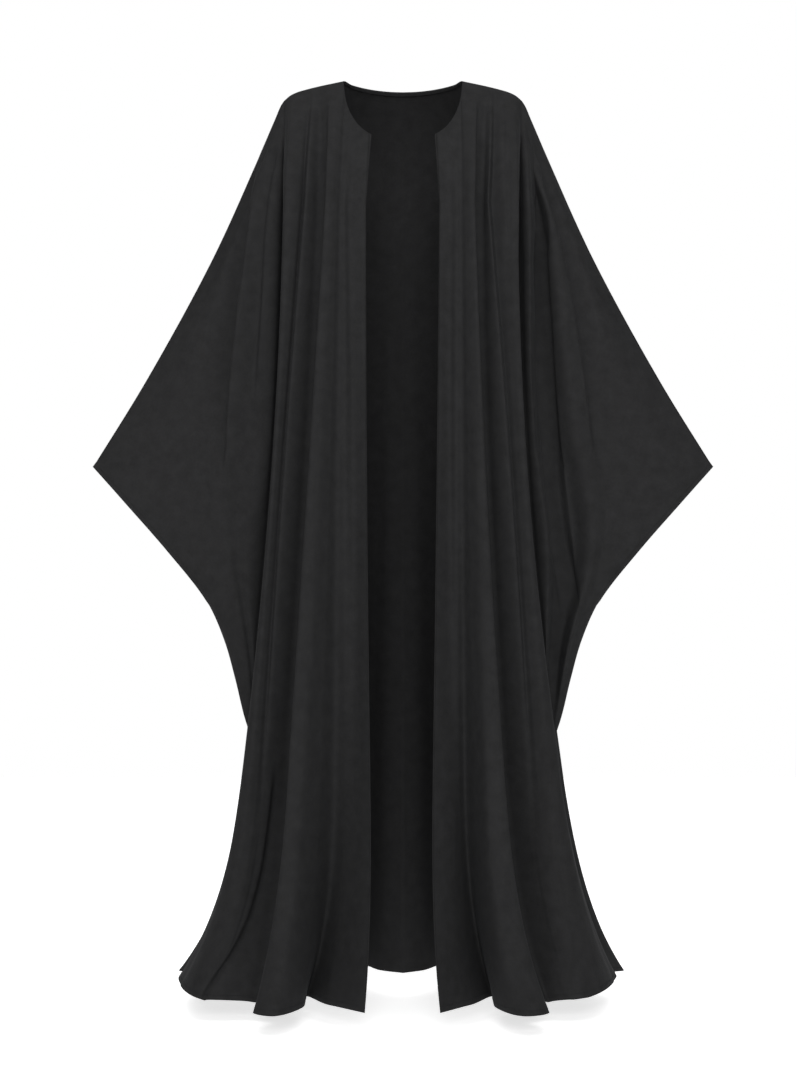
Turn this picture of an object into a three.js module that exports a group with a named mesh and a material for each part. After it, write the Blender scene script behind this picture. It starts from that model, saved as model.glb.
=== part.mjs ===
// Open-front abaya without a collar, cut as two fronts and a back that each take in their half of the wide
// sleeves. Millimetres, +Z up, the front faces -Y. The origin lies midway between the neck points of the
// two shoulders.
import * as THREE from "three";

// Driving sizes of the cloth, the neck and the sleeves
const WALL = 1.6;                                 // thickness of the cloth wall
const SEAM_GAP = 0.3;                             // room between two pieces at a seam
const NECK_HALF = 93;                             // from the centre to the neck point of a shoulder
const NECK_ARC = { centre: 30, height: 103 };     // ellipse that the front neckline follows
const NECK_LEAN = 0.95;                           // how far the front neckline comes forward as it drops
const BACK_NECK = { drop: 9, depth: 58 };         // the back neckline at the centre
const BINDING = { height: 7, wall: 1, gap: 0.3 };
const SHOULDER_DEPTH = 5;                         // y of the shoulder seam
const WRIST_DEPTH = -6;                           // y of the seam at the tip of a sleeve
const CUFF_GAPE = 27;                             // how far each edge of a cuff stands from the seam plane
const LEVEL = { chest: -205, waist: -660, knee: -1030, hem: -1427 };
const SLEEVE = { top: -31, tip: -607, cuffEnd: -816, end: -1075 };
const FLARE_POWER = 3.1;                          // how late the skirt opens below the knee

// Relief of the sleeve's folds: none on a narrow stretch, full on a wide one, and the share on each face
const SLEEVE_RELIEF = { narrow: 22, wide: 85, front: 1, back: 0.5 };
const SLEEVE_ROUNDING = { narrow: 2, wide: 4 };   // power of the curve towards the sleeve's edge

// Outline of the shoulder and the overarm seam, seen from the front
const OVERARM = table(["at", "x", "z"], [
  ["neck point", NECK_HALF, 0],
  ["mid shoulder", 141, -10.5],
  ["outer shoulder", 172, -20],
  ["shoulder tip", 187, SLEEVE.top],
  ["below the tip", 202, -63],
  ["upper arm", 229, -125],
  ["elbow", 300, -282],
  ["forearm", 402, -470],
  ["sleeve tip", 486, SLEEVE.tip],
]);

// Outline of the cuff and the underarm seam
const UNDERARM = table(["at", "x", "z"], [
  ["sleeve tip", 486, SLEEVE.tip],
  ["upper cuff", 438, -659],
  ["mid cuff", 369, -737],
  ["cuff end", 309, SLEEVE.cuffEnd],
  ["below the cuff", 281, -879],
  ["hip", 264, -941],
  ["thigh", 249, -1004],
  ["end of the sleeve", 224, SLEEVE.end],
]);

// Fold lines of a front, from the open edge to the side. top is where a line starts on the neckline or the
// shoulder, right and left are its distances from the centre on the wearer's two fronts and depth is its y,
// each at chest, waist, knee and hem, and lift is how far the hem rises there.
const LINE_COLUMNS = ["line", "top", "right", "left", "depth", "lift"];
const FRONT_LINES = table(LINE_COLUMNS, [
  ["open edge", 49, [57, 56, 52, 59], [56, 52, 47, 57], [-108, -128, -156, -205], 0],
  ["soft trough", 66, [82, 75, 74, 96], [72, 71, 74, 88], [-104, -113, -128, -158], 0],
  ["soft crest", 79, [90, 88, 88, 118], [82, 81, 84, 107], [-109, -118, -120, -130], 0],
  ["main trough", 88, [96, 101, 104, 149], [89, 91, 94, 138], [-109, -117, -112, -62], 0],
  ["roll 1 rise", 94, [102, 114, 126, 152], [95, 101, 109, 140], [-115, -132, -138, -160], 0],
  ["roll 1 crest", 101, [108, 130, 150, 190], [101, 114, 125, 176], [-120, -147, -166, -232], 0],
  ["roll 1 side", 109, [114, 143, 168, 218], [107, 124, 145, 211], [-122, -150, -168, -218], 0],
  ["roll 1 edge", 116, [121, 149, 173, 227], [112, 130, 152, 221], [-119, -142, -157, -181], 0],
  ["roll 1 tuck", 124, [123, 142, 164, 208], [114, 123, 142, 200], [-104, -114, -114, -120], 0],
  ["behind roll 1", 129, [130, 152, 176, 231], [121, 131, 154, 223], [-95, -101, -84, -106], 0],
  ["middle edge", 139, [149, 184, 208, 300], [130, 166, 188, 254], [-106, -114, -97, -114], 4],
  ["middle foot", 144, [154, 188, 213, 307], [136, 170, 194, 262], [-97, -104, -96, -113], 4],
  ["roll 2 rise", 151, [160, 193, 220, 319], [151, 177, 203, 285], [-104, -109, -101, -108], 7],
  ["roll 2 crest", 165, [174, 200, 231, 338], [168, 188, 221, 312], [-110, -113, -104, -70], 11],
  ["roll 2 edge", 177, [182, 206, 243, 355], [178, 196, 237, 339], [-106, -104, -80, 40], 14],
  ["side tuck", 187, [183, 198, 221, 347], [177, 187, 221, 338], [-58, -28, 10, 92], 13],
]);

// Fold lines of the back, from the centre to the side
const BACK_LINES = table(LINE_COLUMNS, [
  ["centre valley", 0, [0, 0, 0, 0], [0, 0, 0, 0], [128, 134, 142, 160], 0],
  ["valley side", 22, [19, 23, 27, 37], [18, 22, 26, 34], [131, 141, 153, 188], 0],
  ["roll 1 rise", 46, [35, 42, 50, 62], [36, 42, 48, 60], [135, 153, 176, 238], 0],
  ["roll 1 crest", 66, [54, 64, 76, 96], [56, 62, 72, 92], [138, 160, 190, 260], 0],
  ["roll 1 side", 82, [73, 86, 102, 132], [77, 84, 96, 124], [134, 150, 172, 226], 0],
  ["valley", 93, [90, 106, 128, 164], [96, 104, 120, 156], [128, 134, 148, 178], 0],
  ["roll 2 rise", 112, [110, 128, 152, 200], [116, 128, 146, 192], [126, 139, 158, 204], 0],
  ["roll 2 crest", 134, [132, 152, 180, 240], [137, 154, 176, 234], [120, 138, 162, 214], 0],
  ["roll 2 side", 154, [152, 174, 204, 278], [154, 176, 202, 276], [112, 122, 136, 176], 0],
  ["outer valley", 168, [168, 190, 222, 310], [168, 190, 224, 308], [102, 104, 104, 162], 0],
  ["side roll", 178, [184, 208, 243, 362], [180, 205, 246, 358], [84, 80, 62, 154], 5],
  ["side tuck", 187, [180, 198, 221, 347], [176, 188, 221, 338], [54, 34, 4, 92], 13],
]);

// Fold lines of a sleeve: share of the way from the side tuck to the sleeve's edge at four heights, and how
// far the line stands out of the cloth
const SHARE_HEIGHTS = [-205, -430, -607, -816];
const SLEEVE_LINES = {
  right: table(["line", "share", "rise"], [
    ["slot wall", [0.1, 0.05, 0.035, 0.2], 21],
    ["band start", [0.2, 0.11, 0.085, 0.33], 24],
    ["band dip", [0.38, 0.22, 0.16, 0.43], 17],
    ["band edge", [0.61, 0.375, 0.26, 0.52], 17],
    ["foot of the band", [0.66, 0.42, 0.38, 0.74], 4],
    ["flat of the sleeve", [0.86, 0.68, 0.62, 0.9], 0],
  ]),
  left: table(["line", "share", "rise"], [
    ["slot wall", [0.09, 0.045, 0.032, 0.13], 24],
    ["narrow roll", [0.19, 0.09, 0.072, 0.24], 30],
    ["foot of the roll", [0.28, 0.142, 0.11, 0.35], 9],
    ["deep fold", [0.38, 0.25, 0.197, 0.56], -7],
    ["outer crest", [0.54, 0.36, 0.3, 0.72], 13],
    ["outer trough", [0.7, 0.5, 0.42, 0.84], 0],
    ["flat of the sleeve", [0.88, 0.72, 0.66, 0.94], 0],
  ]),
};

// Half the thickness of the hollow sleeve
const SLEEVE_ROOM = table(["at", "z", "room"], [
  ["shoulder tip", SLEEVE.top, 0],
  ["shoulder", -70, 30],
  ["upper arm", -205, 50],
  ["forearm", -430, 42],
  ["sleeve tip", SLEEVE.tip, 34],
  ["cuff end", SLEEVE.cuffEnd, 30],
  ["end of the sleeve", SLEEVE.end, 0],
]);

// Bands of mesh rows from the shoulder to the hem: an ease over 1 packs the rows towards the top of a band
const ROW_BANDS = table(["to", "rows", "ease"], [
  [LEVEL.chest, 5, 1.25],
  [SLEEVE.tip, 6, 1],
  [SLEEVE.cuffEnd, 4, 1],
  [SLEEVE.end, 4, 1],
  [LEVEL.hem, 8, 0.9],
]);
const COLUMNS_PER_LINE = 2;                       // mesh columns from one fold line to the next
const CURVE_STEPS = 200;                          // fineness of the measured outlines
const STEP_LIMIT = { valley: 3, ridge: 1.2 };     // longest step through the wall at a sharp fold
const LEVEL_EASE = 0.001;                         // two heights closer than this are the same

const lerp = THREE.MathUtils.lerp;
const clamp = THREE.MathUtils.clamp;
const smoothstep = THREE.MathUtils.smoothstep;
const signOf = (side) => (side === "right" ? -1 : 1);
const facingOf = (panel) => (panel === "front" ? -1 : 1);

// Rows of values as objects with named columns
function table(columns, rows) {
  return rows.map((row) => Object.fromEntries(columns.map((column, i) => [column, row[i]])));
}

// Value of one column where another column, which only rises or only falls, passes a given place
function lookUp(rows, column, key, place) {
  const falling = rows[0][key] > rows[rows.length - 1][key];
  const past = rows.findIndex((row) => (falling ? row[key] <= place : row[key] >= place));
  if (past === 0) return rows[0][column];
  if (past < 0) return rows[rows.length - 1][column];
  const [from, to] = [rows[past - 1], rows[past]];
  return lerp(from[column], to[column], (place - from[key]) / (to[key] - from[key]));
}

// An outline's points joined by a smooth curve
function smoothOutline(points) {
  const knots = points.map((p) => new THREE.Vector3(p.x, 0, p.z));
  return new THREE.CatmullRomCurve3(knots, false, "centripetal").getPoints(CURVE_STEPS);
}
const OVERARM_CURVE = smoothOutline(OVERARM);
const UNDERARM_CURVE = smoothOutline(UNDERARM);

// Width or depth of a fold line at a height: a parabola through chest, waist and knee, then the flare
function alongLine([chest, waist, knee, hem], z) {
  const toWaist = (waist - chest) / (LEVEL.waist - LEVEL.chest);
  const toKnee = (knee - waist) / (LEVEL.knee - LEVEL.waist);
  const bend = (toKnee - toWaist) / (LEVEL.knee - LEVEL.chest);
  if (z >= LEVEL.knee) {
    return chest + (z - LEVEL.chest) * (toWaist + bend * (z - LEVEL.waist));
  }
  const slope = toKnee + bend * (LEVEL.knee - LEVEL.waist);
  const whole = LEVEL.hem - LEVEL.knee;
  const flare = ((z - LEVEL.knee) / whole) ** FLARE_POWER;
  return knee + slope * (z - LEVEL.knee) + (hem - knee - slope * whole) * flare;
}

// Where a fold line starts: on the neckline near the centre, else on the shoulder seam
function startOfLine(line, panel) {
  const x = line.top;
  if (x >= NECK_HALF) {
    return { y: SHOULDER_DEPTH, z: lookUp(OVERARM_CURVE, "z", "x", x) };
  }
  if (panel === "front") {
    const reach = (x - NECK_ARC.centre) / (NECK_HALF - NECK_ARC.centre);
    const z = -NECK_ARC.height * Math.sqrt(1 - reach ** 2);
    return { y: SHOULDER_DEPTH + NECK_LEAN * z, z };
  }
  const round = 1 - (x / NECK_HALF) ** 2;
  return { y: SHOULDER_DEPTH + BACK_NECK.depth * Math.sqrt(round), z: -BACK_NECK.drop * round };
}

// Point of a fold line on one mesh row, named by the row's height at the side
function linePoint(line, side, panel, level) {
  if (level <= LEVEL.chest) {
    const lowered = clamp((LEVEL.knee - level) / (LEVEL.knee - LEVEL.hem), 0, 1);
    const x = signOf(side) * alongLine(line[side], level);
    return new THREE.Vector3(x, alongLine(line.depth, level), level + line.lift * lowered);
  }
  const start = startOfLine(line, panel);
  const t = (SLEEVE.top - level) / (SLEEVE.top - LEVEL.chest);
  const x = signOf(side) * lerp(line.top, line[side][0], t);
  const y = lerp(start.y, line.depth[0], 1 - (1 - t) ** 2);
  return new THREE.Vector3(x, y, lerp(start.z, LEVEL.chest, t));
}

// The line at the side: below the sleeve it is the side seam, where front and back meet on one curve
const SEAM_LINE = FRONT_LINES[FRONT_LINES.length - 1];
function sidePoint(line, side, panel, level) {
  if (level <= SLEEVE.end) return linePoint(SEAM_LINE, side, "front", level);
  const meeting = linePoint(SEAM_LINE, side, "front", SLEEVE.end);
  const miss = meeting.sub(linePoint(line, side, panel, SLEEVE.end));
  const share = smoothstep(LEVEL.chest - level, 0, LEVEL.chest - SLEEVE.end);
  return linePoint(line, side, panel, level).addScaledVector(miss, share);
}

// Points of a smooth curve through knots, with the same number of points from each knot to the next
function curvePoints(knots) {
  const curve = new THREE.CatmullRomCurve3(knots, false, "centripetal");
  const count = (knots.length - 1) * COLUMNS_PER_LINE;
  return Array.from({ length: count + 1 }, (_, i) => curve.getPoint(i / count));
}

// Points of one row of a panel's body. The top row turns a corner at the neck point, so it is two curves.
function bodyRow(lines, side, panel, level) {
  const knots = lines.slice(0, -1).map((line) => linePoint(line, side, panel, level));
  knots.push(sidePoint(lines[lines.length - 1], side, panel, level));
  if (level < SLEEVE.top) return curvePoints(knots);
  const corner = neckCorner(lines);
  return [...curvePoints(knots.slice(0, corner + 1)), ...curvePoints(knots.slice(corner)).slice(1)];
}

function neckCorner(lines) {
  return lines.findIndex((line) => line.top >= NECK_HALF);
}

// Points of one row of a sleeve, from the side tuck to the overarm seam, the cuff or the underarm seam
function sleeveRow(tuck, side, panel, level) {
  const outline = level >= SLEEVE.tip ? OVERARM_CURVE : UNDERARM_CURVE;
  const edgeX = signOf(side) * lookUp(outline, "x", "z", level);
  const alongArm = clamp((SLEEVE.top - level) / (SLEEVE.top - SLEEVE.tip), 0, 1);
  const armDepth = lerp(SHOULDER_DEPTH, WRIST_DEPTH, alongArm);
  const endDepth = alongLine(SEAM_LINE.depth, SLEEVE.end);
  const edgeY = lerp(armDepth, endDepth, smoothstep(-level, -SLEEVE.cuffEnd, -SLEEVE.end));
  const alongCuff = clamp((SLEEVE.tip - level) / (SLEEVE.tip - SLEEVE.cuffEnd), 0, 1);
  const gape = CUFF_GAPE * Math.sin(Math.PI * alongCuff);
  const room = lookUp(SLEEVE_ROOM, "room", "z", level);
  const spread = smoothstep(Math.abs(edgeX - tuck.x), SLEEVE_RELIEF.narrow, SLEEVE_RELIEF.wide);
  const relief = spread * SLEEVE_RELIEF[panel];
  const power = lerp(SLEEVE_ROUNDING.narrow, SLEEVE_ROUNDING.wide, spread);
  const knots = SLEEVE_LINES[side].map((fold) => {
    const shares = fold.share.map((share, i) => ({ z: SHARE_HEIGHTS[i], share }));
    const share = lookUp(shares, "share", "z", level);
    const hollow = lerp(Math.abs(edgeY - tuck.y), room, smoothstep(share, 0, 1));
    const out = gape + (hollow - gape) * Math.sqrt(1 - share ** power) + fold.rise * relief;
    return new THREE.Vector3(lerp(tuck.x, edgeX, share), edgeY + facingOf(panel) * out, level);
  });
  const edge = new THREE.Vector3(edgeX, edgeY + facingOf(panel) * gape, level);
  return curvePoints([tuck, ...knots, edge]);
}

// Heights of the mesh rows at the side, from the shoulder tip to the hem
function rowLevels() {
  const levels = [SLEEVE.top];
  for (const band of ROW_BANDS) {
    const from = levels[levels.length - 1];
    for (let i = 1; i <= band.rows; i++) {
      levels.push(lerp(from, band.to, (i / band.rows) ** band.ease));
    }
  }
  return levels;
}
const ROWS = rowLevels();

// A sheet of cloth as points and triangles. seams holds the way out of the cloth at the points that meet
// another piece.
class Sheet {
  constructor() {
    this.points = [];
    this.seams = new Map();
    this.triangles = [];
  }

  add(point) {
    this.points.push(point.clone());
    return this.points.length - 1;
  }

  // Joins two rows of equal length, leaving out the triangles that have closed up
  strip(upper, lower, flip) {
    for (let i = 0; i + 1 < upper.length; i++) {
      const [a, b, c, d] = [upper[i], upper[i + 1], lower[i + 1], lower[i]];
      for (const [p, q, r] of [[a, d, c], [a, c, b]]) {
        if (p === q || q === r || r === p) continue;
        this.triangles.push(flip ? [p, r, q] : [p, q, r]);
      }
    }
  }

  // Ends a run of points at a seam: half the gap back from the other piece, with the wall square to the gap
  seam(run, panel, outward) {
    const points = run.map((index) => this.points[index]);
    run.forEach((index, i) => {
      const along = points[Math.min(run.length - 1, i + 1)].clone().sub(points[Math.max(0, i - 1)]);
      const way = along.cross(new THREE.Vector3(0, 1, 0)).normalize();
      this.seams.set(index, way.dot(outward) < 0 ? way.negate() : way);
    });
    for (const point of points) point.y += facingOf(panel) * SEAM_GAP / 2;
  }

  // For each point the way out of the cloth, longer than 1 at a sharp fold, so that a wall of that many
  // thicknesses stays as thick on both sides of the fold
  steps() {
    const faces = this.points.map(() => []);
    const rises = this.points.map(() => new THREE.Vector3());
    for (const triangle of this.triangles) {
      const corners = triangle.map((i) => this.points[i]);
      const normal = new THREE.Triangle(...corners).getNormal(new THREE.Vector3());
      triangle.forEach((index, k) => {
        const next = corners[(k + 1) % 3].clone().sub(corners[k]);
        const last = corners[(k + 2) % 3].clone().sub(corners[k]);
        faces[index].push({ normal, angle: next.angleTo(last) });
        rises[index].add(next).add(last);
      });
    }
    return this.points.map((_, i) => {
      if (this.seams.has(i)) return this.seams.get(i);
      const way = new THREE.Vector3();
      for (const face of faces[i]) way.addScaledVector(face.normal, face.angle);
      way.normalize();
      const least = Math.min(...faces[i].map((face) => face.normal.dot(way)));
      const limit = rises[i].dot(way) > 0 ? STEP_LIMIT.valley : STEP_LIMIT.ridge;
      return way.multiplyScalar(least > 1 / limit ? 1 / least : limit);
    });
  }

  // Points moved into the cloth by a distance
  inset(distance) {
    const steps = this.steps();
    return this.points.map((point, i) => point.clone().addScaledVector(steps[i], -distance));
  }

  // Closed wall: these points outside, the same points moved in by the thickness, and a rim round the edge
  wall(thickness) {
    const count = this.points.length;
    const faces = [...this.triangles];
    for (const [a, b, c] of this.triangles) faces.push([a + count, c + count, b + count]);
    const sides = this.triangles.flatMap(([a, b, c]) => [`${a},${b}`, `${b},${c}`, `${c},${a}`]);
    const edges = new Set(sides);
    for (const edge of edges) {
      const [a, b] = edge.split(",").map(Number);
      if (edges.has(`${b},${a}`)) continue;
      faces.push([b, a, a + count], [b, a + count, b + count]);
    }
    const points = [...this.points, ...this.inset(thickness)];
    const geometry = new THREE.BufferGeometry().setFromPoints(points);
    geometry.setIndex(faces.flat());
    geometry.computeVertexNormals();
    return geometry;
  }
}

// Adds one side of a panel with its half sleeve, and returns the rows of the body. centre holds the points
// of the centre line where another side of the panel has made them.
function addSide(sheet, lines, side, panel, centre) {
  const flip = (side === "right") === (panel === "front");
  const body = ROWS.map((level, r) => {
    const points = bodyRow(lines, side, panel, level);
    return points.map((point, i) => (i === 0 && centre ? centre[r] : sheet.add(point)));
  });
  for (let r = 1; r < ROWS.length; r++) sheet.strip(body[r - 1], body[r], flip);

  // The sleeve's rows start and end as a single point on the side line
  const tucks = body.map((row) => row[row.length - 1]);
  const width = COLUMNS_PER_LINE * (SLEEVE_LINES[side].length + 1);
  const overarm = body[0].slice(neckCorner(lines) * COLUMNS_PER_LINE);
  const underarm = [];
  let upper = Array(width + 1).fill(tucks[0]);
  ROWS.forEach((level, r) => {
    if (r === 0) return;
    if (level < SLEEVE.end - LEVEL_EASE) {
      underarm.push(tucks[r]);
      return;
    }
    const open = level > SLEEVE.end + LEVEL_EASE;
    const beyond = open ? sleeveRow(sheet.points[tucks[r]], side, panel, level).slice(1) : [];
    const lower = [tucks[r], ...beyond.map((point) => sheet.add(point))];
    while (lower.length < upper.length) lower.push(tucks[r]);
    sheet.strip(upper, lower, flip);
    const edge = lower[width];
    if (level >= SLEEVE.tip - LEVEL_EASE) overarm.push(edge);
    if (level <= SLEEVE.cuffEnd + LEVEL_EASE) underarm.push(edge);
    upper = lower;
  });
  sheet.seam(overarm, panel, new THREE.Vector3(signOf(side), 0, 1));
  sheet.seam(underarm, panel, new THREE.Vector3(signOf(side), 0, 0));
  return body;
}

function frontSheet(side) {
  const sheet = new Sheet();
  addSide(sheet, FRONT_LINES, side, "front");
  return sheet;
}

// The back, and its first two rows of points between the neck points
function backSheet() {
  const sheet = new Sheet();
  const right = addSide(sheet, BACK_LINES, "right", "back");
  const left = addSide(sheet, BACK_LINES, "left", "back", right.map((row) => row[0]));
  const reach = neckCorner(BACK_LINES) * COLUMNS_PER_LINE;
  const across = (row) => [...right[row].slice(1, reach).reverse(), ...left[row].slice(0, reach)];
  return { sheet, neckRows: [across(0), across(1)] };
}

// Narrow strip inside the back neckline, made from the points of the back moved in
function bindingSheet(back) {
  const inner = back.sheet.inset(WALL + BINDING.gap);
  const [edges, belows] = back.neckRows.map((row) => row.map((index) => inner[index]));
  const strip = new Sheet();
  const rows = [0, BINDING.height].map((drop) => edges.map((edge, i) => {
    const down = belows[i].clone().sub(edge).normalize();
    return strip.add(edge.clone().addScaledVector(down, drop));
  }));
  strip.strip(rows[0], rows[1], true);
  return strip;
}

const CLOTH = { color: 0x2b2b2c, roughness: 0.85, metalness: 0 };
const BINDING_CLOTH = { color: 0x252526, roughness: 0.8, metalness: 0 };

function clothMesh(name, sheet, wall, finish) {
  const mesh = new THREE.Mesh(sheet.wall(wall), new THREE.MeshStandardMaterial(finish));
  mesh.name = name;
  return mesh;
}

const abaya = new THREE.Group();
const back = backSheet();
abaya.add(clothMesh("front_right", frontSheet("right"), WALL, CLOTH));
abaya.add(clothMesh("front_left", frontSheet("left"), WALL, CLOTH));
abaya.add(clothMesh("back", back.sheet, WALL, CLOTH));
abaya.add(clothMesh("back_neck_binding", bindingSheet(back), BINDING.wall, BINDING_CLOTH));

export default abaya;
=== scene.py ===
import math

import bpy
import numpy as np
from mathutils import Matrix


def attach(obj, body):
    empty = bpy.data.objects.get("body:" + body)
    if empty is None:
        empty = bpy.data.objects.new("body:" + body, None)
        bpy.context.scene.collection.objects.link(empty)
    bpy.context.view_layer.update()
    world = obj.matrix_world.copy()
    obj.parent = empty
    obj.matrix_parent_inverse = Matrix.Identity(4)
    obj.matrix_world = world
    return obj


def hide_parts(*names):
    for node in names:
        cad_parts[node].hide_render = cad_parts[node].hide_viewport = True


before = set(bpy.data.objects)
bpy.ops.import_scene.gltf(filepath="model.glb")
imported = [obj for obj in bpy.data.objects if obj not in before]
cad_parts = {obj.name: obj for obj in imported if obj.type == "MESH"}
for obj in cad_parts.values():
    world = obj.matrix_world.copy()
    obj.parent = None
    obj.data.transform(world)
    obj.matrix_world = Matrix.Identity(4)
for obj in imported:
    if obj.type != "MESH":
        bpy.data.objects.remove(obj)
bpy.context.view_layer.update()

# Sizes are millimetres in the tables, as in the solids, and the meshes are made in metres
MM = 0.001

# Driving sizes of the cut, the same as the solids have
NECK_HALF = 93
NECK_ARC = {"centre": 30, "height": 103}
NECK_LEAN = 0.95
BACK_NECK = {"drop": 9, "depth": 58}
SHOULDER_DEPTH = 5
WRIST_DEPTH = -6
CUFF_GAPE = 27
CHEST, WAIST, KNEE, HEM = -205, -660, -1030, -1427
SLEEVE = {"top": -31, "tip": -607, "cuff_end": -816, "end": -1075}
FLARE_POWER = 3.1
CORNER_FADES = 24                     # the corner at the neck point still shows this far down
SLEEVE_RELIEF = {"narrow": 22, "wide": 85, "front": 1, "back": 0.5}
SLEEVE_ROUNDING = {"narrow": 2, "wide": 4}

OVERARM = [(93, 0), (141, -10.5), (172, -20), (187, -31), (202, -63), (229, -125), (300, -282), (402, -470),
           (486, -607)]
UNDERARM = [(486, -607), (438, -659), (369, -737), (309, -816), (281, -879), (264, -941), (249, -1004),
            (224, -1075)]

# Fold lines: name, where it starts at the top, distance from the centre on the wearer's right and left at
# chest, waist, knee and hem, depth there, and how far the hem rises
FRONT_LINES = [
    ("open edge", 49, (57, 56, 52, 59), (56, 52, 47, 57), (-108, -128, -156, -205), 0),
    ("soft trough", 66, (82, 75, 74, 96), (72, 71, 74, 88), (-104, -113, -128, -158), 0),
    ("soft crest", 79, (90, 88, 88, 118), (82, 81, 84, 107), (-109, -118, -120, -130), 0),
    ("main trough", 88, (96, 101, 104, 149), (89, 91, 94, 138), (-109, -117, -112, -62), 0),
    ("roll 1 rise", 94, (102, 114, 126, 152), (95, 101, 109, 140), (-115, -132, -138, -160), 0),
    ("roll 1 crest", 101, (108, 130, 150, 190), (101, 114, 125, 176), (-120, -147, -166, -232), 0),
    ("roll 1 side", 109, (114, 143, 168, 218), (107, 124, 145, 211), (-122, -150, -168, -218), 0),
    ("roll 1 edge", 116, (121, 149, 173, 227), (112, 130, 152, 221), (-119, -142, -157, -181), 0),
    ("roll 1 tuck", 124, (123, 142, 164, 208), (114, 123, 142, 200), (-104, -114, -114, -120), 0),
    ("behind roll 1", 129, (130, 152, 176, 231), (121, 131, 154, 223), (-95, -101, -84, -106), 0),
    ("middle edge", 139, (149, 184, 208, 300), (130, 166, 188, 254), (-106, -114, -97, -114), 4),
    ("middle foot", 144, (154, 188, 213, 307), (136, 170, 194, 262), (-97, -104, -96, -113), 4),
    ("roll 2 rise", 151, (160, 193, 220, 319), (151, 177, 203, 285), (-104, -109, -101, -108), 7),
    ("roll 2 crest", 165, (174, 200, 231, 338), (168, 188, 221, 312), (-110, -113, -104, -70), 11),
    ("roll 2 edge", 177, (182, 206, 243, 355), (178, 196, 237, 339), (-106, -104, -80, 40), 14),
    ("side tuck", 187, (183, 198, 221, 347), (177, 187, 221, 338), (-58, -28, 10, 92), 13),
]
BACK_LINES = [
    ("centre valley", 0, (0, 0, 0, 0), (0, 0, 0, 0), (128, 134, 142, 160), 0),
    ("valley side", 22, (19, 23, 27, 37), (18, 22, 26, 34), (131, 141, 153, 188), 0),
    ("roll 1 rise", 46, (35, 42, 50, 62), (36, 42, 48, 60), (135, 153, 176, 238), 0),
    ("roll 1 crest", 66, (54, 64, 76, 96), (56, 62, 72, 92), (138, 160, 190, 260), 0),
    ("roll 1 side", 82, (73, 86, 102, 132), (77, 84, 96, 124), (134, 150, 172, 226), 0),
    ("valley", 93, (90, 106, 128, 164), (96, 104, 120, 156), (128, 134, 148, 178), 0),
    ("roll 2 rise", 112, (110, 128, 152, 200), (116, 128, 146, 192), (126, 139, 158, 204), 0),
    ("roll 2 crest", 134, (132, 152, 180, 240), (137, 154, 176, 234), (120, 138, 162, 214), 0),
    ("roll 2 side", 154, (152, 174, 204, 278), (154, 176, 202, 276), (112, 122, 136, 176), 0),
    ("outer valley", 168, (168, 190, 222, 310), (168, 190, 224, 308), (102, 104, 104, 162), 0),
    ("side roll", 178, (184, 208, 243, 362), (180, 205, 246, 358), (84, 80, 62, 154), 5),
    ("side tuck", 187, (180, 198, 221, 347), (176, 188, 221, 338), (54, 34, 4, 92), 13),
]
LINES = {"front": FRONT_LINES, "back": BACK_LINES}
SEAM_LINE = FRONT_LINES[-1]
NAME, TOP, RIGHT, LEFT, DEPTH, LIFT = range(6)
SIDE = {"right": RIGHT, "left": LEFT}

# Fold lines of the sleeves: share of the way from the side tuck to the edge at four heights, and the rise
SHARE_HEIGHTS = (-205, -430, -607, -816)
SLEEVE_LINES = {
    "right": [
        ("slot wall", (0.1, 0.05, 0.035, 0.2), 21),
        ("band start", (0.2, 0.11, 0.085, 0.33), 24),
        ("band dip", (0.38, 0.22, 0.16, 0.43), 17),
        ("band edge", (0.61, 0.375, 0.26, 0.52), 17),
        ("foot of the band", (0.66, 0.42, 0.38, 0.74), 4),
        ("flat of the sleeve", (0.86, 0.68, 0.62, 0.9), 0),
    ],
    "left": [
        ("slot wall", (0.09, 0.045, 0.032, 0.13), 24),
        ("narrow roll", (0.19, 0.09, 0.072, 0.24), 30),
        ("foot of the roll", (0.28, 0.142, 0.11, 0.35), 9),
        ("deep fold", (0.38, 0.25, 0.197, 0.56), -7),
        ("outer crest", (0.54, 0.36, 0.3, 0.72), 13),
        ("outer trough", (0.7, 0.5, 0.42, 0.84), 0),
        ("flat of the sleeve", (0.88, 0.72, 0.66, 0.94), 0),
    ],
}
SLEEVE_ROOM = {"z": (-31, -70, -205, -430, -607, -816, -1075), "room": (0, 30, 50, 42, 34, 30, 0)}
SOFTEN = 45                           # a table's bends down the sleeve are rounded over this height

# Fineness of the cloth: rows in each band with the way they bunch up, and columns between fold lines
ROW_BANDS = [("chest", CHEST, 30, 1.5), ("sleeve tip", SLEEVE["tip"], 40, 1.0),
             ("cuff end", SLEEVE["cuff_end"], 26, 1.0), ("end of the sleeve", SLEEVE["end"], 30, 1.0),
             ("hem", HEM, 50, 0.0)]
HEM_BUNCH = 1.6
COLUMNS = {"front": 11, "front sleeve": 14, "back": 7, "back sleeve": 7}
EDGE_COLUMNS = 14                     # beside an open edge or a cuff
EDGE_BUNCH = 2

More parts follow.
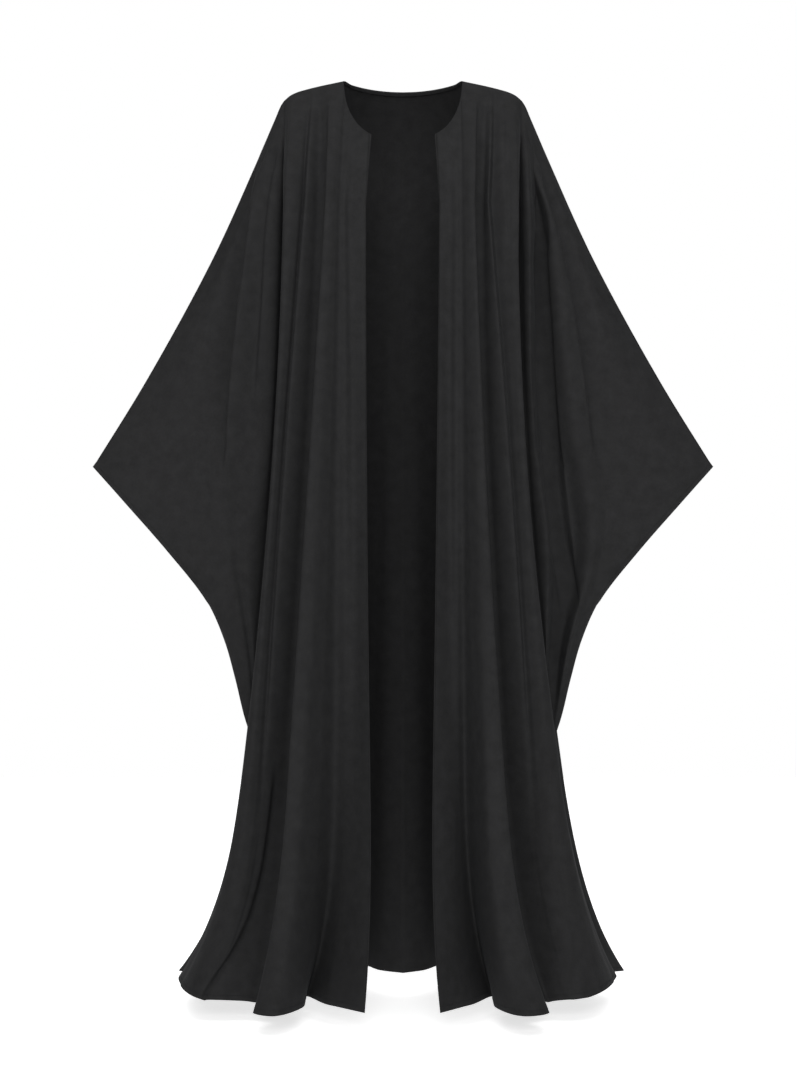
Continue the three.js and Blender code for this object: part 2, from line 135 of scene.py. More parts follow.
# Creases finer than the solids' folds. Each is a soft step: inside the line, towards the centre, the cloth
# swells to a crest, and outside it drops into a trough. turn is half the width of the step. A path goes down
# the garment as z and the distance from the centre, or follows a fold line.
CREASE_COLUMNS = ("name", "panel", "side", "crest", "trough", "inner", "outer", "turn", "path")
CREASES = [
    ("open edge", "front", "right", 0, 3, 5, 6, 1.5, "open edge"),
    ("slot beside roll 1", "front", "right", 0, 13, 3, 6, 2, "roll 1 edge"),
    ("slot beside roll 2", "front", "right", 0, 4, 3, 3, 2, "roll 2 edge"),
    ("sleeve, outer", "front", "right", 9, 16, 26, 28, 1.8,
     [(-95, 222), (-183, 230), (-226, 237), (-350, 255), (-505, 271), (-640, 280)]),
    ("sleeve, inner", "front", "right", 4, 7, 12, 12, 3, [(-100, 190), (-226, 211), (-350, 218), (-540, 232)]),
    ("flare", "front", "right", -9, -5, 10, 14, 3,
     [(-1060, 196), (-1160, 206), (-1252, 220), (-1343, 251), (-1386, 285), (-1427, 322)]),
    ("open edge", "front", "left", 0, 3, 5, 6, 1.5, "open edge"),
    ("slot beside roll 1", "front", "left", 0, 13, 3, 6, 2, "roll 1 edge"),
    ("slot beside roll 2", "front", "left", 0, 4, 3, 3, 2, "roll 2 edge"),
    ("upper front", "front", "left", 3, 5, 12, 10, 4, [(-40, 160), (-125, 156), (-240, 160), (-320, 162)]),
    ("sleeve, narrow roll", "front", "left", 4, 13, 7, 12, 2,
     [(-170, 201), (-226, 205), (-350, 207), (-505, 213), (-660, 223), (-860, 250)]),
    ("sleeve, deep fold", "front", "left", -14, -7, 20, 22, 2,
     [(-230, 222), (-350, 230), (-505, 239), (-660, 252), (-860, 280)]),
    ("sleeve, outer", "front", "left", 6, 10, 16, 26, 2,
     [(-70, 188), (-125, 200), (-226, 235), (-350, 262), (-505, 287), (-620, 300)]),
    ("flare", "front", "left", 0, 6, 14, 20, 8, [(-1040, 215), (-1128, 228), (-1283, 250), (-1427, 285)]),
    ("slot beside roll 1", "back", "right", 0, 7, 6, 10, 4, "roll 1 side"),
    ("slot beside roll 2", "back", "right", 0, 6, 5, 8, 4, "roll 2 side"),
    ("sleeve, outer", "back", "right", 4, 7, 16, 22, 4,
     [(-80, 205), (-226, 240), (-350, 262), (-505, 284), (-610, 292)]),
    ("sleeve, inner", "back", "right", 3, 5, 12, 14, 4, [(-110, 200), (-226, 216), (-400, 228), (-600, 244)]),
    ("flare", "back", "right", 3, 5, 14, 20, 6, [(-1040, 214), (-1150, 228), (-1290, 262), (-1427, 300)]),
    ("slot beside roll 1", "back", "left", 0, 6, 5, 9, 4, "roll 1 side"),
    ("slot beside roll 2", "back", "left", 0, 7, 6, 9, 4, "roll 2 side"),
    ("sleeve, outer", "back", "left", 5, 6, 18, 24, 4,
     [(-90, 210), (-226, 246), (-380, 276), (-520, 300), (-620, 310)]),
    ("sleeve, inner", "back", "left", 3, 6, 12, 12, 4, [(-120, 200), (-240, 212), (-420, 222), (-640, 240)]),
    ("flare", "back", "left", 2, 6, 12, 18, 6, [(-1050, 206), (-1150, 220), (-1290, 256), (-1427, 292)]),
]
CREASE_FADE = {"start": 70, "end": 150}
CREASE_BESIDE = 0.5                   # a slot lies this far beside the fold line it follows
CREASE_CLEAR = 25                     # a crease fades out this near to a seam

# The sewn edges: pieces that all but touch, a turned hem with its line of stitches, and seams that sink a little
SHELL = 0.9                           # thickness of the cloth that shows
SEAM_GAP = 0.05                       # between sewn pieces, less than the solids stand apart
TURNED_HEM = {"width": 9, "soft": 1, "swell": 0.35, "outward": 0.5}
BINDING_STRIP = {"height": 7, "behind": 1.7, "wall": 0.7, "edge": 0.5, "rows": 7, "stitch_row": 5}
STITCH = {"from_edge": 8, "length": 2.4, "pitch": 3.2, "width": 0.5, "sunk": 0.15, "proud": 0.3}
SEAM_SINK = {"width": 4, "depth": 0.9}
SLANT = 0.85                          # a slanted edge is nearer than the way along a row

# Small values of the curves and the grids
SAME_PLACE = 1e-4                     # knots nearer than this count as one
ON_LEVEL = 0.01                       # a row this near to a height is on it
FAR = 1e3                             # distance from an edge that isn't there
NO_LENGTH = 1e-9
OUTLINE_STEPS, SOFT_STEPS, PATH_STEPS = 400, 9, 7


def sign_of(side):
    return -1 if side == "right" else 1


def facing_of(panel):
    return -1 if panel == "front" else 1


def lerp(a, b, t):
    return a + (b - a) * t


def smoothstep(x, low, high):
    t = np.clip((x - low) / (high - low), 0, 1)
    return t * t * (3 - 2 * t)


def curve(knots, places):
    """Smooth curves through knots (rows, knots, 3) at places counted in knots, by the centripetal rule."""
    first = 2 * knots[:, :1] - knots[:, 1:2]
    last = 2 * knots[:, -1:] - knots[:, -2:-1]
    padded = np.concatenate([first, knots, last], axis=1)
    index = np.minimum(np.floor(places).astype(int), knots.shape[1] - 2)
    weight = (places - index)[None, :, None]
    p0, p1, p2, p3 = (padded[:, index + k] for k in range(4))

    def spacing(a, b):
        return np.linalg.norm(b - a, axis=2, keepdims=True) ** 0.5

    d1 = spacing(p1, p2)
    d1 = np.where(d1 < SAME_PLACE, 1.0, d1)
    d0 = spacing(p0, p1)
    d0 = np.where(d0 < SAME_PLACE, d1, d0)
    d2 = spacing(p2, p3)
    d2 = np.where(d2 < SAME_PLACE, d1, d2)
    t1 = ((p1 - p0) / d0 - (p2 - p0) / (d0 + d1) + (p2 - p1) / d1) * d1
    t2 = ((p2 - p1) / d1 - (p3 - p1) / (d1 + d2) + (p3 - p2) / d2) * d1
    w2 = weight * weight
    w3 = w2 * weight
    return (p1 * (2 * w3 - 3 * w2 + 1) + t1 * (w3 - 2 * w2 + weight)
            + p2 * (3 * w2 - 2 * w3) + t2 * (w3 - w2))


def outline(points):
    """A smooth outline as arrays of x and z."""
    knots = np.array([[(x, 0, z) for x, z in points]], float)
    smooth = curve(knots, np.linspace(0, len(points) - 1, OUTLINE_STEPS))[0]
    return smooth[:, 0], smooth[:, 2]


OVERARM_X, OVERARM_Z = outline(OVERARM)
UNDERARM_X, UNDERARM_Z = outline(UNDERARM)


def edge_x(level):
    """How far out the sleeve's edge is at each height."""
    upper = np.interp(-level, -OVERARM_Z, OVERARM_X)
    lower = np.interp(-level, -UNDERARM_Z, UNDERARM_X)
    return np.where(level >= SLEEVE["tip"], upper, lower)


def softly(level, heights, values):
    """A table's value at each height, with its bends rounded."""
    ends = np.minimum(SLEEVE["top"] - level, level - SLEEVE["end"])
    reach = np.clip(ends, 0, SOFTEN)
    steps = np.linspace(-1, 1, SOFT_STEPS)
    found = [np.interp(-(level + s * reach), [-z for z in heights], values) for s in steps]
    return np.mean(found, axis=0)


def along_line(values, level):
    """Width or depth of a fold line at each height: a parabola to the knee, then the flare."""
    chest, waist, knee, hem = values
    to_waist = (waist - chest) / (WAIST - CHEST)
    to_knee = (knee - waist) / (KNEE - WAIST)
    bend = (to_knee - to_waist) / (KNEE - CHEST)
    upper = chest + (level - CHEST) * (to_waist + bend * (level - WAIST))
    slope = to_knee + bend * (KNEE - WAIST)
    whole = HEM - KNEE
    share = np.clip((level - KNEE) / whole, 0, None)
    lower = knee + slope * (level - KNEE) + (hem - knee - slope * whole) * share ** FLARE_POWER
    return np.where(level >= KNEE, upper, lower)


def start_of(line, panel):
    """y and z where a fold line starts, on the neckline or the shoulder seam."""
    x = line[TOP]
    if x >= NECK_HALF:
        return SHOULDER_DEPTH, float(np.interp(x, OVERARM_X, OVERARM_Z))
    if panel == "front":
        reach = (x - NECK_ARC["centre"]) / (NECK_HALF - NECK_ARC["centre"])
        z = -NECK_ARC["height"] * math.sqrt(1 - reach ** 2)
        return SHOULDER_DEPTH + NECK_LEAN * z, z
    rounding = 1 - (x / NECK_HALF) ** 2
    return SHOULDER_DEPTH + BACK_NECK["depth"] * math.sqrt(rounding), -BACK_NECK["drop"] * rounding


def line_points(line, side, panel, level):
    """Points of a fold line at each height."""
    lowered = np.clip((KNEE - level) / (KNEE - HEM), 0, 1)
    below = np.stack([sign_of(side) * along_line(line[SIDE[side]], level),
                      along_line(line[DEPTH], level), level + line[LIFT] * lowered], axis=1)
    y, z = start_of(line, panel)
    t = (SLEEVE["top"] - level) / (SLEEVE["top"] - CHEST)
    above = np.stack([sign_of(side) * lerp(line[TOP], line[SIDE[side]][0], t),
                      lerp(y, line[DEPTH][0], 1 - (1 - t) ** 2), lerp(z, CHEST, t)], axis=1)
    return np.where((level <= CHEST)[:, None], below, above)


def side_points(line, side, panel, level):
    """The line at the side, which becomes the side seam below the sleeve."""
    end = np.array([SLEEVE["end"]], float)
    seam = line_points(SEAM_LINE, side, "front", level)
    miss = line_points(SEAM_LINE, side, "front", end) - line_points(line, side, panel, end)
    share = smoothstep(CHEST - level, 0, CHEST - SLEEVE["end"])[:, None]
    above = line_points(line, side, panel, level) + miss * share
    return np.where((level <= SLEEVE["end"])[:, None], seam, above)


def column_places(spans, bunched, columns):
    """Places along the knots: even between lines, bunched towards the first or the last one."""
    places = [0.0]
    for i in range(spans):
        if i == bunched:
            steps = np.linspace(0, 1, EDGE_COLUMNS + 1)[1:]
            shares = steps ** EDGE_BUNCH if bunched == 0 else 1 - (1 - steps) ** EDGE_BUNCH
        else:
            shares = np.linspace(0, 1, columns + 1)[1:]
        places.extend(i + s for s in shares)
    return np.array(places)


def body_rows(side, panel, level):
    """Points of the body's rows (rows, columns, 3), and the column of the neck point."""
    lines = LINES[panel]
    knots = [line_points(line, side, panel, level) for line in lines[:-1]]
    knots.append(side_points(lines[-1], side, panel, level))
    knots = np.stack(knots, axis=1)
    places = column_places(len(lines) - 1, 0 if panel == "front" else None, COLUMNS[panel])
    corner = next(i for i, line in enumerate(lines) if line[TOP] >= NECK_HALF)
    split = int(np.searchsorted(places, corner))
    whole = curve(knots, places)
    parts = np.concatenate([curve(knots[:, :corner + 1], places[:split + 1]),
                            curve(knots[:, corner:], places[split:] - corner)[:, 1:]], axis=1)
    fade = smoothstep(SLEEVE["top"] - level, 0, CORNER_FADES)[:, None, None]
    return lerp(parts, whole, fade), split


def sleeve_rows(tuck, side, panel, level):
    """Points of the sleeve's rows, from the side tuck to its edge."""
    edge = sign_of(side) * edge_x(level)
    along_arm = np.clip((SLEEVE["top"] - level) / (SLEEVE["top"] - SLEEVE["tip"]), 0, 1)
    arm_depth = lerp(SHOULDER_DEPTH, WRIST_DEPTH, along_arm)
    end_depth = along_line(SEAM_LINE[DEPTH], np.array([SLEEVE["end"]], float))[0]
    edge_y = lerp(arm_depth, end_depth, smoothstep(-level, -SLEEVE["cuff_end"], -SLEEVE["end"]))
    along_cuff = np.clip((SLEEVE["tip"] - level) / (SLEEVE["tip"] - SLEEVE["cuff_end"]), 0, 1)
    gape = CUFF_GAPE * np.sin(np.pi * along_cuff)
    room = softly(level, SLEEVE_ROOM["z"], SLEEVE_ROOM["room"])
    spread = smoothstep(np.abs(edge - tuck[:, 0]), SLEEVE_RELIEF["narrow"], SLEEVE_RELIEF["wide"])
    power = lerp(SLEEVE_ROUNDING["narrow"], SLEEVE_ROUNDING["wide"], spread)
    knots = [tuck]
    for _, shares, rise in SLEEVE_LINES[side]:
        share = softly(level, SHARE_HEIGHTS, shares)
        hollow = lerp(np.abs(edge_y - tuck[:, 1]), room, smoothstep(share, 0, 1))
        out = (gape + (hollow - gape) * np.sqrt(1 - share ** power)
               + rise * spread * SLEEVE_RELIEF[panel])
        knots.append(np.stack([lerp(tuck[:, 0], edge, share), edge_y + facing_of(panel) * out, level], axis=1))
    knots.append(np.stack([edge, edge_y + facing_of(panel) * gape, level], axis=1))
    spans = len(knots) - 1
    return curve(np.stack(knots, axis=1), column_places(spans, spans - 1, COLUMNS[panel + " sleeve"]))


def row_levels():
    """Heights of the rows at the side, from the shoulder tip to the hem."""
    levels = [float(SLEEVE["top"])]
    for _, to, rows, ease in ROW_BANDS:
        start = levels[-1]
        for i in range(1, rows + 1):
            share = (i / rows) ** ease if ease else 1 - (1 - i / rows) ** HEM_BUNCH
            levels.append(lerp(start, to, share))
    return np.array(levels)


LEVELS = row_levels()
SLEEVE_ROWS = int(np.searchsorted(-LEVELS, -SLEEVE["end"] - ON_LEVEL))


def lengths(grid, axis, backwards=False):
    """Length of cloth along rows (axis 1) or down columns (axis 0), from one end of each."""
    steps = np.linalg.norm(np.diff(grid, axis=axis), axis=2)
    if backwards:
        steps = np.flip(steps, axis)
    start = np.zeros_like(np.take(steps, [0], axis=axis))
    total = np.concatenate([start, np.cumsum(steps, axis=axis)], axis=axis)
    return np.flip(total, axis) if backwards else total


def crease_line(path, panel, side, z):
    """How far from the centre a crease is at each height, and the heights where it begins and ends."""
    if isinstance(path, str):
        line = next(line for line in LINES[panel] if line[NAME] == path)
        below = along_line(line[SIDE[side]], z)
        above = lerp(line[TOP], line[SIDE[side]][0], (SLEEVE["top"] - z) / (SLEEVE["top"] - CHEST))
        return np.where(z <= CHEST, below, above) + CREASE_BESIDE, SLEEVE["top"], HEM
    heights = np.array([point[0] for point in path], float)
    places = [np.interp(-(z + shift), -heights, [point[1] for point in path])
              for shift in np.linspace(-SOFTEN, SOFTEN, PATH_STEPS)]
    return np.mean(places, axis=0), heights[0], heights[-1]


def crease_height(panel, side, x, z):
    """How far the creases move points of a panel out of the cloth."""
    total = np.zeros_like(z)
    for row in CREASES:
        crease = dict(zip(CREASE_COLUMNS, row))
        if (crease["panel"], crease["side"]) != (panel, side):
            continue
        line, top, bottom = crease_line(crease["path"], panel, side, z)
        away = np.abs(x) - line
        outside = 0.5 * (1 + np.tanh(away / crease["turn"]))
        step = ((1 - outside) * crease["crest"] * np.exp(-np.abs(away) / crease["inner"])
                - outside * crease["trough"] * np.exp(-np.abs(away) / crease["outer"]))
        begins = smoothstep(top - z, 0, CREASE_FADE["start"])
        ends = smoothstep(z - bottom, 0, CREASE_FADE["end"]) if bottom > HEM else 1
        total += step * begins * ends
    return total


class Cloth:
    """A sheet of cloth: points, faces, and for each point how far it is from a hem and from a seam."""

    def __init__(self):
        self.points, self.hem, self.seam, self.faces = [], [], [], []
        self.count = 0
        self.runs = []                # lines of points that are sewn
        self.stitching = []           # lines of stitches
        self.necks = []               # columns of points that start at the neckline

    def grid(self, points, hem, seam):
        """Add points in rows and columns, and return their numbers."""
        rows, columns = points.shape[:2]
        self.points.append(points.reshape(-1, 3))
        self.hem.append(hem.reshape(-1))
        self.seam.append(seam.reshape(-1))
        ids = np.arange(rows * columns).reshape(rows, columns) + self.count
        self.count += rows * columns
        return ids

    def strips(self, ids, flip):
        """Faces between the rows of numbered points."""
        corners = [ids[:-1, :-1], ids[1:, :-1], ids[1:, 1:], ids[:-1, 1:]]
        if flip:
            corners.reverse()
        self.faces.append(np.stack(corners, axis=2).reshape(-1, 4))

    def add_side(self, side, panel, centre=None):
        """One side of a panel with its half sleeve. centre holds the points of a centre line made before."""
        flip = (side == "right") == (panel == "front")
        body, corner = body_rows(side, panel, LEVELS)
        ids = self.add_body(body, corner, panel, centre, flip)
        level = LEVELS[:SLEEVE_ROWS + 1]
        sleeve = sleeve_rows(body[:SLEEVE_ROWS + 1, -1], side, panel, level)
        wing = self.add_sleeve(sleeve, level, ids[:SLEEVE_ROWS + 1, -1], flip)

        overarm = np.concatenate([ids[0, corner:], wing[1:, -1][level[1:] >= SLEEVE["tip"] - ON_LEVEL]])
        under = wing[level <= SLEEVE["cuff_end"] + ON_LEVEL, -1]
        underarm = np.concatenate([under, ids[SLEEVE_ROWS + 1:, -1]])
        outward = sign_of(side)
        self.runs += [(overarm, panel, (outward, 0, 1)), (underarm, panel, (outward, 0, 0))]
        return ids

    def add_body(self, body, corner, panel, centre, flip):
        """The body's rows, hemmed at the foot, the neckline and the open edge, and sewn along the other edges."""
        down = lengths(body, 0)
        up = lengths(body, 0, True)
        hem, seam = up.copy(), np.full(body.shape[:2], FAR)
        if panel == "front":
            hem = np.minimum(hem, lengths(body, 1))
        hem[:, :corner] = np.minimum(hem, down)[:, :corner]
        seam[:, corner:] = down[:, corner:]
        below = LEVELS < SLEEVE["end"]
        seam[below] = np.minimum(seam, lengths(body, 1, True))[below]
        ids = self.grid(body, hem, seam)
        if centre is not None:
            ids[:, 0] = centre
        self.strips(ids, flip)
        self.necks.append((ids[:, :corner + 1], down[:, :corner + 1]))
        self.stitch_line(np.flip(ids, 0).T, np.flip(up, 0).T)
        return ids

    def add_sleeve(self, sleeve, level, tuck, flip):
        """The sleeve's rows, joined to the body at the side tuck, hemmed at the cuff and sewn above and below it."""
        across = lengths(sleeve, 1, True) * SLANT
        cuff = (level <= SLEEVE["tip"] + ON_LEVEL) & (level >= SLEEVE["cuff_end"] - ON_LEVEL)
        hem = np.where(cuff[:, None], across, FAR)
        seam = np.where(cuff[:, None], FAR, across)
        wing = self.grid(sleeve, hem, seam)
        wing[:, 0] = tuck
        wing[0] = wing[0, 0]
        wing[-1] = wing[-1, 0]
        self.strips(wing, flip)
        self.stitch_line(np.flip(wing, 1)[cuff], np.flip(across, 1)[cuff])
        return wing

    def stitch_line(self, ids, away):
        """Keep where each row of points is one stitch line's width from the edge that the rows start at."""
        upper = np.argmax(away > STITCH["from_edge"], axis=1)
        rows = np.arange(len(ids))
        near, far = away[rows, upper - 1], away[rows, upper]
        share = (STITCH["from_edge"] - near) / (far - near)
        self.stitching.append((ids[rows, upper - 1], ids[rows, upper], share))

    def finished(self):
        """Points, faces, ways out of the cloth, and distances from hem and seam, with the sewn edges set apart."""
        points = np.concatenate(self.points)
        faces = np.concatenate(self.faces)
        ways = np.zeros_like(points)
        for a, b, c in ((0, 1, 2), (0, 2, 3)):
            p, q, r = (points[faces[:, k]] for k in (a, b, c))
            normal = np.cross(q - p, r - p)
            for k in (a, b, c):
                np.add.at(ways, faces[:, k], normal)
        ways /= np.maximum(np.linalg.norm(ways, axis=1, keepdims=True), NO_LENGTH)
        for run, panel, outward in self.runs:
            line = points[run]
            along = np.gradient(line, axis=0)
            way = np.cross(along, (0, 1, 0))
            way /= np.linalg.norm(way, axis=1, keepdims=True)
            ways[run] = np.where((way @ np.array(outward, float) < 0)[:, None], -way, way)
            points[run, 1] += facing_of(panel) * SEAM_GAP / 2
        return points, faces, ways, np.concatenate(self.hem), np.concatenate(self.seam)


def stitches(points, ways, line):
    """Stitches along a line as small closed blocks, half sunk in the cloth."""
    near, far, share = line
    path = lerp(points[near], points[far], share[:, None])
    up = lerp(ways[near], ways[far], share[:, None])
    run = np.concatenate([[0], np.cumsum(np.linalg.norm(np.diff(path, axis=0), axis=1))])
    starts = np.arange(STITCH["pitch"], run[-1] - STITCH["pitch"], STITCH["pitch"])

    def at(where, values):
        return np.stack([np.interp(where, run, values[:, k]) for k in range(3)], axis=1)

    ends = at(starts, path), at(starts + STITCH["length"], path)
    normal = at(starts + STITCH["length"] / 2, up)
    normal /= np.linalg.norm(normal, axis=1, keepdims=True)
    across = np.cross(normal, ends[1] - ends[0])
    across *= STITCH["width"] / 2 / np.linalg.norm(across, axis=1, keepdims=True)
    corners = [end + side * across + rise * normal
               for rise in (-STITCH["sunk"], STITCH["proud"]) for end in ends for side in (-1, 1)]
    blocks = np.stack(corners, axis=1).reshape(-1, 3)
    block = np.array([(0, 1, 3, 2), (4, 6, 7, 5), (0, 4, 5, 1), (2, 3, 7, 6), (0, 2, 6, 4), (1, 5, 7, 3)])
    faces = (block[None] + 8 * np.arange(len(starts))[:, None, None]).reshape(-1, 4)
    return blocks, faces.tolist()


def shell(points, faces, ways, inner):
    """Closed wall from an outer surface: the same points moved in by inner, and a rim along the open edges."""
    count = len(points)
    clean = []                        # the faces, with corners at one place taken as one
    for face in faces.tolist():
        kept = [v for i, v in enumerate(face) if v != face[i - 1]]
        if len(set(kept)) > 2:
            clean.append(kept)
    edges = dict.fromkeys((a, b) for face in clean for a, b in zip(face, face[1:] + face[:1]))
    rim = [[b, a, a + count, b + count] for a, b in edges if (b, a) not in edges]
    inside = [[v + count for v in reversed(face)] for face in clean]
    everything = np.concatenate([points, points - ways * inner[:, None]])
    return everything, clean + inside + rim


def add_object(name, data):
    made = bpy.data.objects.new(name, data)
    bpy.context.scene.collection.objects.link(made)
    return made


def mesh_object(name, points, faces):
    """A smooth object in metres, without the points that no face uses."""
    used = np.unique(np.concatenate([np.array(face) for face in faces]))
    place = np.full(len(points), -1)
    place[used] = np.arange(len(used))
    mesh = bpy.data.meshes.new(name)
    mesh.from_pydata((points[used] * MM).tolist(), [], [[int(place[v]) for v in face] for face in faces])
    mesh.update()
    mesh.polygons.foreach_set("use_smooth", np.ones(len(mesh.polygons), bool))
    return add_object(name, mesh)


def cloth_piece(name, cloth, panel):
    """A panel as a closed wall with its creases, turned hems, sunk seams and stitches."""
    points, faces, ways, hem, seam = cloth.finished()
    for side in ("right", "left"):
        here = points[:, 0] * sign_of(side) > 0
        x, z = points[here, 0], points[here, 2]
        height = crease_height(panel, side, x, z) * smoothstep(seam[here], 0, CREASE_CLEAR)
        points[here] += ways[here] * height[:, None]
    width, soft = TURNED_HEM["width"], TURNED_HEM["soft"]
    swell = TURNED_HEM["swell"] * (1 - smoothstep(hem, width - soft, width + soft))
    raised = swell * TURNED_HEM["outward"]
    sink = SEAM_SINK["depth"] * (1 - smoothstep(seam, 0, SEAM_SINK["width"]))
    outer = points + ways * (raised - sink)[:, None]
    everything, all_faces = shell(outer, faces, ways, SHELL + swell + raised)
    for line in cloth.stitching:
        blocks, block_faces = stitches(outer, ways, line)
        all_faces += [[v + len(everything) for v in face] for face in block_faces]
        everything = np.concatenate([everything, blocks])
    return mesh_object(name, everything, all_faces)


def front_cloth(side):
    cloth = Cloth()
    cloth.add_side(side, "front")
    return cloth


def back_cloth():
    cloth = Cloth()
    right = cloth.add_side("right", "back")
    cloth.add_side("left", "back", right[:, 0])
    return cloth


def binding_piece(name, cloth):
    """Narrow strip inside the back neckline, stitched near its lower edge."""
    points, _, ways, _, _ = cloth.finished()
    (right, right_down), (left, left_down) = cloth.necks
    ids = np.concatenate([right[:, ::-1], left[:, 1:]], axis=1)
    down = np.concatenate([right_down[:, ::-1], left_down[:, 1:]], axis=1)
    drops = np.linspace(0, BINDING_STRIP["height"], BINDING_STRIP["rows"] + 1)

    def rows_of(values):
        columns = [[np.interp(drops, down[:, j], values[ids[:, j], k]) for k in range(3)]
                   for j in range(ids.shape[1])]
        return np.array(columns).transpose(2, 0, 1).reshape(-1, 3)

    strip = Cloth()
    number = strip.grid(np.zeros((len(drops), ids.shape[1], 3)), drops, drops)
    strip.strips(number, True)
    up = rows_of(ways)
    up /= np.linalg.norm(up, axis=1, keepdims=True)
    middle = rows_of(points) - up * (BINDING_STRIP["behind"] + BINDING_STRIP["wall"] / 2)
    half = np.full(number.shape, BINDING_STRIP["wall"] / 2)
    half[[0, -1]] *= BINDING_STRIP["edge"]
    half = half.reshape(-1)
    everything, faces = shell(middle + up * half[:, None], strip.faces[0], up, 2 * half)
    row = BINDING_STRIP["stitch_row"]
    line = (number[row], number[row + 1], np.full(ids.shape[1], 0.5))
    blocks, block_faces = stitches(middle - up * half[:, None], -up, line)
    faces += [[v + len(everything) for v in face] for face in block_faces]
    return mesh_object(name, np.concatenate([everything, blocks]), faces)


def noise(tree, kind):
    """A noise texture from the table."""
    made = tree.nodes.new("ShaderNodeTexNoise")
    for entry, value in zip(("Scale", "Detail", "Roughness"), NOISE[kind]):
        made.inputs[entry].default_value = value
    return made


# Finish of the crepe: light and dark of its mottle, its roughness, and the height of its grain in metres
CREPE = {"dark": (0.0145, 0.0145, 0.0148, 1), "light": (0.0202, 0.0202, 0.0207, 1),
         "rough": (0.78, 0.95), "grain": 0.00025}
# The binding's copy of the crepe is lighter: painted light, brightening the binding where it sits in shade inside
# the back neck
BINDING_PAINTED_LIGHT = {"dark": (0.0155, 0.0155, 0.0158, 1), "light": (0.0215, 0.0215, 0.022, 1),
           "rough": (0.7, 0.88), "grain": 0.0002}
NOISE = {"broad": (55, 5, 0.62), "fine": (340, 3, 0.6), "grain": (1, 2, 0.5)}  # scale, detail, roughness
MOTTLE = {"fine_share": 0.35, "dark_at": 0.34, "light_at": 0.66}
GRAIN = {"across": 2400, "down": 900, "strength": 0.6}
SHEEN = {"weight": 0.02, "roughness": 0.35, "tint": (0.82, 0.84, 0.88, 1)}
GLOSS = 0.03


def crepe_material(name, look):
    """Matte crepe: a suede-like mottle, a fine pebbled grain that runs down the cloth, and a faint sheen."""
    material = bpy.data.materials.new(name)
    material.use_nodes = True
    tree = material.node_tree
    link = tree.links.new
    shader = tree.nodes["Principled BSDF"]
    place = tree.nodes.new("ShaderNodeTexCoord")
    broad = noise(tree, "broad")
    fine = noise(tree, "fine")
    for texture in (broad, fine):
        link(place.outputs["Object"], texture.inputs["Vector"])
    both = tree.nodes.new("ShaderNodeMix")
    both.inputs[0].default_value = MOTTLE["fine_share"]
    link(broad.outputs["Fac"], both.inputs[2])
    link(fine.outputs["Fac"], both.inputs[3])
    tones = tree.nodes.new("ShaderNodeValToRGB")
    for stop, tone in zip(tones.color_ramp.elements, ("dark", "light")):
        stop.position = MOTTLE[tone + "_at"]
        stop.color = look[tone]
    link(both.outputs[0], tones.inputs["Fac"])
    link(tones.outputs["Color"], shader.inputs["Base Color"])
    rough = tree.nodes.new("ShaderNodeMapRange")
    rough.inputs["To Min"].default_value, rough.inputs["To Max"].default_value = look["rough"]
    link(fine.outputs["Fac"], rough.inputs["Value"])
    link(rough.outputs["Result"], shader.inputs["Roughness"])
    stretch = tree.nodes.new("ShaderNodeMapping")
    stretch.inputs["Scale"].default_value = (GRAIN["across"], GRAIN["across"], GRAIN["down"])
    link(place.outputs["Object"], stretch.inputs["Vector"])
    grain = noise(tree, "grain")
    link(stretch.outputs["Vector"], grain.inputs["Vector"])
    bump = tree.nodes.new("ShaderNodeBump")
    bump.inputs["Distance"].default_value = look["grain"]
    bump.inputs["Strength"].default_value = GRAIN["strength"]
    link(grain.outputs["Fac"], bump.inputs["Height"])
    link(bump.outputs["Normal"], shader.inputs["Normal"])
    shader.inputs["Sheen Weight"].default_value = SHEEN["weight"]
    shader.inputs["Sheen Roughness"].default_value = SHEEN["roughness"]
    shader.inputs["Sheen Tint"].default_value = SHEEN["tint"]
    shader.inputs["Specular IOR Level"].default_value = GLOSS
    return material


crepe = crepe_material("crepe", CREPE)
# The binding's lighter crepe is painted light against the shade inside the back neck
binding_crepe_painted_light = crepe_material("binding_crepe_painted_light", BINDING_PAINTED_LIGHT)


def hang(piece, node_name, material):
    """Hang a piece of cloth in the place of its solid."""
    piece.data.materials.append(material)
    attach(piece, "root")
    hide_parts(node_name)


CLOTHS = {"front_right": front_cloth("right"), "front_left": front_cloth("left"), "back": back_cloth()}
for cloth_name, cloth in CLOTHS.items():
    panel_name = cloth_name.split("_")[0]
    hang(cloth_piece(cloth_name + "_cloth", cloth, panel_name), cloth_name, crepe)
# The binding gets the lighter crepe: painted light for the shade inside the back neck
hang(binding_piece("back_neck_binding_cloth", CLOTHS["back"]), "back_neck_binding", binding_crepe_painted_light)

# Floor, background, lights and camera, in metres and degrees
WHITE = (1, 1, 1, 1)
FLOOR = {"z": -1.46, "front": -7.0, "back": 4.0, "half_width": 6.0}
PAPER = {"tone": (0.93, 0.93, 0.93, 1), "glow": 0.7, "rough": 0.9, "gloss": 0}
BACKGROUND = {"seen": 1.0, "light": 0.1}
SOFT_BOX = {"place": (0, -1.3, 1.2), "elevation": 51, "size": (2.6, 1.6), "power": 36}
SUNS = {"key": {"azimuth": 0, "elevation": 46, "spread": 80, "power": 0.4},
        "front": {"azimuth": 0, "elevation": 20, "spread": 18, "power": 1.4},
        "back": {"azimuth": 180, "elevation": 38, "spread": 60, "power": 1.2}}
CAMERA = {"place": (-0.007, -4.2, -0.7115), "lens": 90.32, "sensor": 36.0}


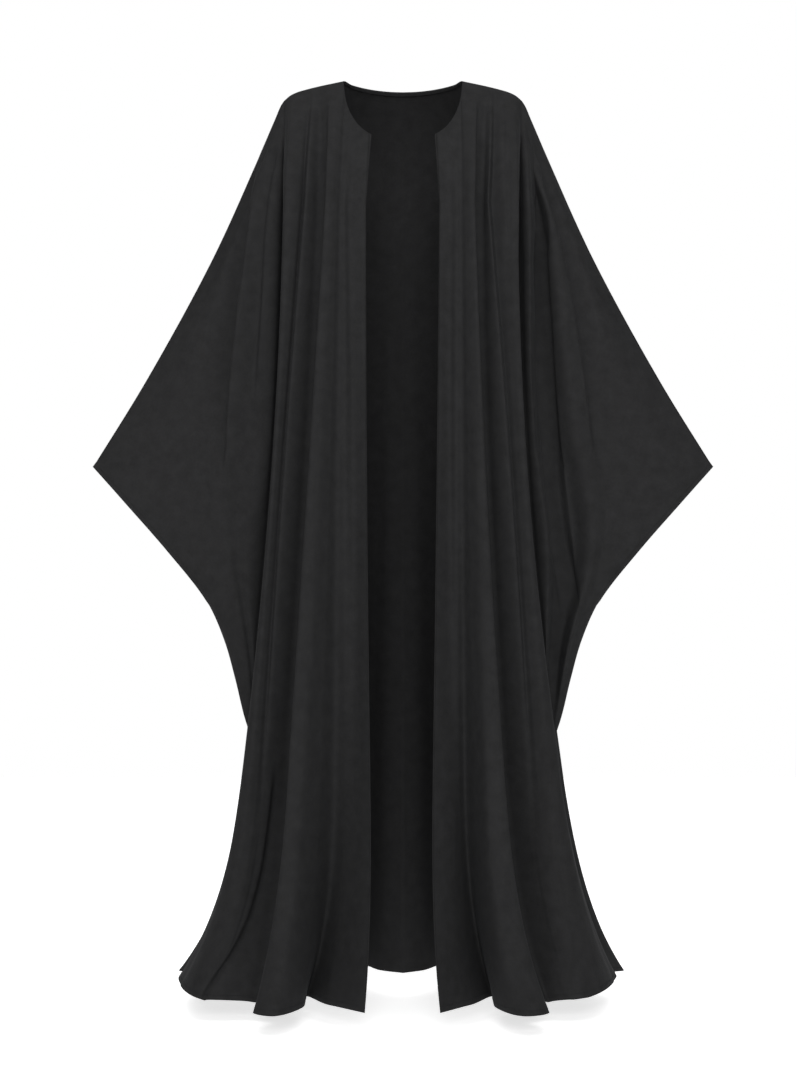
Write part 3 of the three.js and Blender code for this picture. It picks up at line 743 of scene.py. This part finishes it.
def floor():
    """Plain pale paper that glows a little, so that it is as light as the background."""
    wide, near, far, z = FLOOR["half_width"], FLOOR["front"], FLOOR["back"], FLOOR["z"]
    mesh = bpy.data.meshes.new("floor")
    mesh.from_pydata([(-wide, near, z), (wide, near, z), (wide, far, z), (-wide, far, z)], [], [(0, 1, 2, 3)])
    paper = bpy.data.materials.new("pale_paper")
    paper.use_nodes = True
    shader = paper.node_tree.nodes["Principled BSDF"]
    shader.inputs["Base Color"].default_value = PAPER["tone"]
    shader.inputs["Emission Color"].default_value = WHITE
    shader.inputs["Emission Strength"].default_value = PAPER["glow"]
    shader.inputs["Roughness"].default_value = PAPER["rough"]
    shader.inputs["Specular IOR Level"].default_value = PAPER["gloss"]
    mesh.materials.append(paper)
    add_object("floor", mesh)


def background():
    """Pale all round where it is seen, and only a weak light on the cloth."""
    world = bpy.data.worlds.new("studio")
    bpy.context.scene.world = world
    world.use_nodes = True
    shader = world.node_tree.nodes["Background"]
    shader.inputs["Color"].default_value = WHITE
    rays = world.node_tree.nodes.new("ShaderNodeLightPath")
    strength = world.node_tree.nodes.new("ShaderNodeMapRange")
    strength.inputs["To Min"].default_value = BACKGROUND["light"]
    strength.inputs["To Max"].default_value = BACKGROUND["seen"]
    world.node_tree.links.new(rays.outputs["Is Camera Ray"], strength.inputs["Value"])
    world.node_tree.links.new(strength.outputs["Result"], shader.inputs["Strength"])


def sun_light(name, azimuth, elevation, spread, power):
    """Soft light from one direction: azimuth 0 is the camera's side, and it turns towards +X."""
    data = bpy.data.lights.new(name, "SUN")
    data.angle = math.radians(spread)
    data.energy = power
    add_object(name, data).rotation_euler = (math.radians(90 - elevation), 0, math.radians(azimuth))


def soft_box(name, place, elevation, size, power):
    """Wide soft light near the garment that points away from the camera's side and down."""
    data = bpy.data.lights.new(name, "AREA")
    data.shape = "RECTANGLE"
    data.size, data.size_y = size
    data.energy = power
    made = add_object(name, data)
    made.location = place
    made.rotation_euler = (math.radians(90 - elevation), 0, 0)
    made.visible_camera = False


floor()
background()
soft_box("upper", **SOFT_BOX)
for sun_name, sun in SUNS.items():
    sun_light(sun_name, **sun)

camera_data = bpy.data.cameras.new("camera")
camera_data.sensor_fit = "VERTICAL"
camera_data.sensor_height = CAMERA["sensor"]
camera_data.lens = CAMERA["lens"]
camera = add_object("camera", camera_data)
camera.location = CAMERA["place"]
camera.rotation_euler = (math.pi / 2, 0, 0)
bpy.context.scene.camera = camera
bpy.context.scene.view_settings.view_transform = "Standard"
